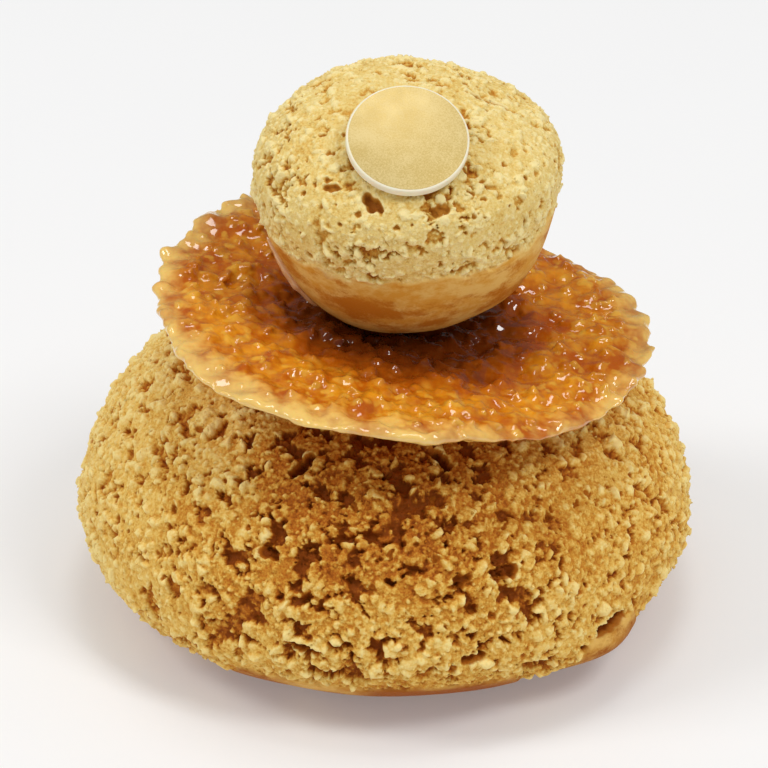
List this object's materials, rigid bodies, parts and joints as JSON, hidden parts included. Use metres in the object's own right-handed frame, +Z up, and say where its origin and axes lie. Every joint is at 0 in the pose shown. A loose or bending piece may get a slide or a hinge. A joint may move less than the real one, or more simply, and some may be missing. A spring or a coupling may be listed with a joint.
{
  "type": "religieuse choux pastry",
  "caption": "Religieuse: a large choux with a crumbly craquelin crust, a caramel nut tuile, a small choux on top and a thin gilded chocolate disc.",
  "frame": {"origin": "middle of the footprint's box, on the surface that the pastry stands on", "axes": "+Z up through the stack; -Y is the front, where the disc faces; +X to the right seen from the front"},
  "size_m": [0.076, 0.0742, 0.0704],
  "materials": {
    "large_choux": "crumbly baked craquelin over choux dough, rough",
    "caramel_tuile": "glossy amber caramel over chopped nuts",
    "small_choux": "pale baked craquelin over golden choux dough, rough",
    "gilded_disc": "cream chocolate with a satin gold top"
  },
  "bodies": {
    "root": {"large_choux": "large_choux", "caramel_tuile": "caramel_tuile", "small_choux": "small_choux", "gilded_disc": "gilded_disc"}
  },
  "joints": []
}
